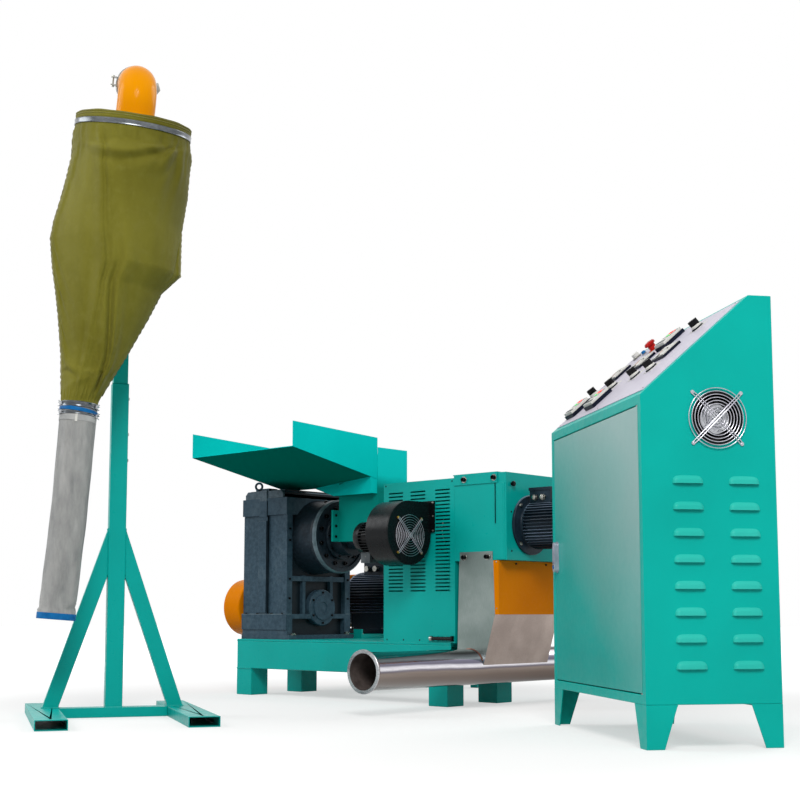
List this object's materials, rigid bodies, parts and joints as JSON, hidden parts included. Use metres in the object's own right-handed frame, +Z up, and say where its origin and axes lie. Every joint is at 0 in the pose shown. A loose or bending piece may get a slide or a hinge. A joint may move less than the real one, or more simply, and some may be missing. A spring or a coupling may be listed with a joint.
{
  "type": "plastic granulator line",
  "caption": "Extruder granulator with feeding tray, gearbox, cutting head and pellet pipe, with its control cabinet and pellet bag stand.",
  "frame": {"origin": "centre of the underside of the base's front left leg, on the floor", "axes": "+X along the screw toward the cutting head, +Y from the tray side to the drive motor, +Z up"},
  "size_m": [3.5814, 3.3141, 2.697],
  "materials": {
    "machine_green": "satin hammer-finish paint",
    "orange_paint": "gloss paint",
    "gearbox_paint": "satin paint on a casting",
    "dark_steel": "machined and blackened",
    "screw_steel": "polished",
    "stainless": "brushed to polished",
    "chrome": "polished",
    "motor_paint": "gloss paint",
    "black_paint": "satin paint",
    "grey_box": "matte",
    "panel_grey": "satin",
    "instrument_white": "matte",
    "black_plastic": "matte",
    "zinc_steel": "zinc plated",
    "plate_pink": "primer",
    "canvas": "woven canvas",
    "sleeve_mesh": "fine woven mesh"
  },
  "bodies": {
    "plant": {"base_front_beam": "machine_green", "base_rear_beam": "machine_green", "base_deck": "machine_green", "base_legs": "machine_green", "motor_platform": "machine_green", "platform_legs": "machine_green", "motor_rails": "machine_green", "gearbox_housing": "gearbox_paint", "gearbox_cap": "gearbox_paint", "bearing_cover": "gearbox_paint", "thrust_housing": "gearbox_paint", "barrel": "dark_steel", "feed_screw": "screw_steel", "feed_throat": "machine_green", "hopper_body": "machine_green", "hopper_tray": "machine_green", "barrel_cover": "machine_green", "cover_latch": "black_plastic", "die_cover": "machine_green", "die_lid": "machine_green", "cutter_motor": "motor_paint", "blower_housing": "black_paint", "blower_motor": "black_paint", "capacitor_box": "grey_box", "blower_guard": "chrome", "main_motor": "motor_paint", "belt_guard": "orange_paint", "pellet_chute": "stainless", "chute_guard": "orange_paint", "conveying_pipe": "stainless", "cabinet_body": "machine_green", "cabinet_feet": "machine_green", "hinge_pins": "zinc_steel", "console_panel": "panel_grey", "panel_instruments": "instrument_white", "panel_knobs": "black_plastic", "fan_frame": "black_plastic", "fan_guard": "chrome", "stand_feet": "machine_green", "stand_cross_beam": "machine_green", "stand_braces": "machine_green", "stand_outer_post": "machine_green"},
    "mast": {"stand_inner_post": "machine_green", "bag_arm": "machine_green", "bag_top_plate": "plate_pink", "inlet_elbow": "orange_paint", "elbow_clamp": "zinc_steel", "bag_band": "zinc_steel", "filter_bag": "canvas", "neck_clamp": "zinc_steel", "outlet_sleeve": "sleeve_mesh"},
    "door": {"cabinet_door": "machine_green", "door_handle": "chrome"},
    "rotor": {"fan_rotor": "black_plastic"}
  },
  "joints": [
    {"name": "mast_slide", "type": "slide", "parent": "plant", "child": "mast", "axis": [0, 0, 1], "range_m": [-0.25, 0.25]},
    {"name": "door_hinge", "type": "hinge", "parent": "plant", "child": "door", "pos_m": [3.0871, -1.06511, 0.6], "axis": [0, 0, 1], "range_deg": [0, 105]},
    {"name": "fan_spin", "type": "hinge", "parent": "plant", "child": "rotor", "pos_m": [3.24661, -0.86856, 1.057], "axis": [-0.796, 0.6053, 0], "continuous": true}
  ]
}
